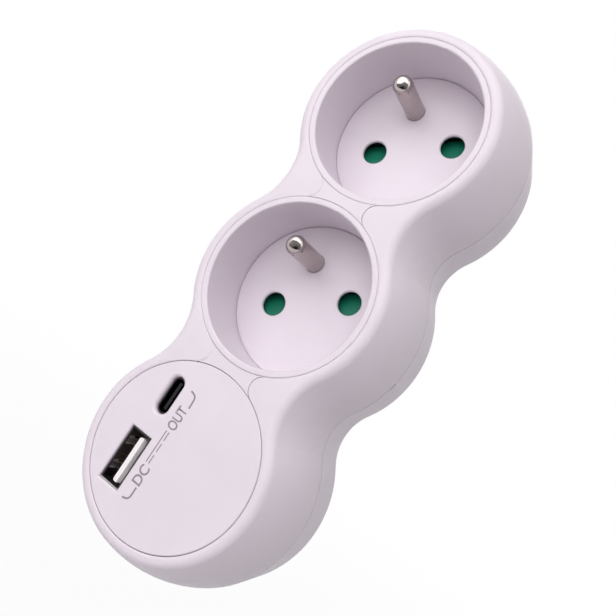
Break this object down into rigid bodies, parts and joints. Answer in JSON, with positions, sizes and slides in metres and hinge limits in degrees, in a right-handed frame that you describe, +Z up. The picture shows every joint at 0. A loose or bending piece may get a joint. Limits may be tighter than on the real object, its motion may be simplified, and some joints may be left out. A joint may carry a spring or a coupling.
{
  "type": "multi socket adapter",
  "caption": "Plug-in wall adapter of round lobes in a row: recessed earthed outlets with spring shutters and a charger lobe with USB-A and USB-C ports.",
  "frame": {"origin": "midway between the two plug pins, on the face of the plug", "axes": "+Z up the row of lobes towards the upper outlet, +Y out of the wall side along the plug pins, so the outlets face -Y, +X to the right seen from the front"},
  "size_m": [0.055, 0.072, 0.143],
  "materials": {
    "white_plastic": "fine satin moulding",
    "shutter_green": "satin moulding",
    "nickel": "satin nickel plate",
    "spring_steel": "bright wire",
    "screw_steel": "zinc plate",
    "inner_plastic": "natural moulding",
    "brass": "rolled strip",
    "port_steel": "nickel plate",
    "port_white": "moulded",
    "port_black": "moulded",
    "contact_gold": "gold flash",
    "board": "lacquered laminate",
    "ferrite": "sintered",
    "winding_tape": "tape",
    "can_sleeve": "shrink sleeve",
    "chip": "moulded",
    "lead_insulation": "extruded"
  },
  "bodies": {
    "housing": {"front_housing": "white_plastic", "rear_cover": "white_plastic", "socket_insert": "white_plastic", "usb_face_plate": "white_plastic", "upper_earth_pin": "nickel", "lower_earth_pin": "nickel", "live_plug_pin": "nickel", "neutral_plug_pin": "nickel", "upper_shutter_spring": "spring_steel", "lower_shutter_spring": "spring_steel", "housing_screws": "screw_steel", "upper_shutter_retainer": "inner_plastic", "lower_shutter_retainer": "inner_plastic", "contact_base": "inner_plastic", "live_busbar": "brass", "neutral_busbar": "brass", "earth_busbar": "brass", "plug_earth_clip": "brass", "plug_earth_sleeve": "brass", "usb_a_shell": "port_steel", "usb_c_shell": "port_steel", "usb_a_tongue": "port_white", "usb_c_tongue": "port_black", "usb_a_contacts": "contact_gold", "usb_board": "board", "transformer_core": "ferrite", "transformer_winding": "winding_tape", "board_capacitors": "can_sleeve", "board_chips": "chip", "board_leads": "lead_insulation"},
    "upper_shutter": {"upper_shutter": "shutter_green"},
    "lower_shutter": {"lower_shutter": "shutter_green"}
  },
  "joints": [
    {"name": "upper_shutter_slide", "type": "slide", "parent": "housing", "child": "upper_shutter", "axis": [0.5, 0, -0.866], "range_m": [0, 0.0065], "stiffness_N_per_m": 150, "springref_m": -0.004, "deforming": ["upper_shutter_spring"]},
    {"name": "lower_shutter_slide", "type": "slide", "parent": "housing", "child": "lower_shutter", "axis": [0.5, 0, -0.866], "range_m": [0, 0.0065], "stiffness_N_per_m": 150, "springref_m": -0.004, "deforming": ["lower_shutter_spring"]}
  ]
}
